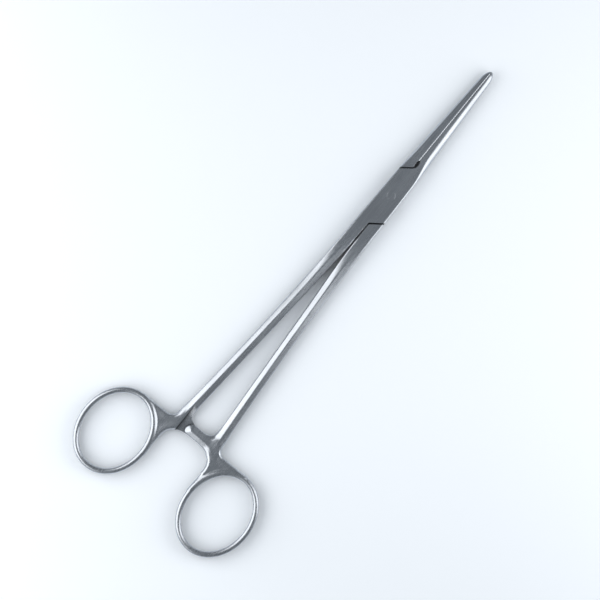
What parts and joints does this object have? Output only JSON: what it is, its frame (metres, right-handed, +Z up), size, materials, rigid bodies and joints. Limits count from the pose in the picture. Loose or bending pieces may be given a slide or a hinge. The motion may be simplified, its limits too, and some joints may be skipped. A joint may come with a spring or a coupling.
{
  "type": "hemostat forceps",
  "caption": "Straight hemostat forceps with finger rings, a ratchet, a box lock and cross-serrated jaws that open on one hinge.",
  "frame": {"origin": "on the hinge axis, at the underside of the box, which is the surface the forceps lies on", "axes": "+X along the forceps from the finger rings to the jaws, +Z up along the hinge axis, +Y to the side of the female half's ring"},
  "size_m": [0.2251, 0.0834, 0.0062],
  "materials": {
    "female_half": "satin stainless steel",
    "male_half": "satin stainless steel",
    "hinge_pin": "satin stainless steel"
  },
  "bodies": {
    "female": {"female_half": "female_half", "hinge_pin": "hinge_pin"},
    "male": {"male_half": "male_half"}
  },
  "joints": [
    {"name": "box_lock", "type": "hinge", "parent": "female", "child": "male", "pos_m": [0, 0, 0.0031], "axis": [0, 0, 1], "range_deg": [0, 60]}
  ]
}
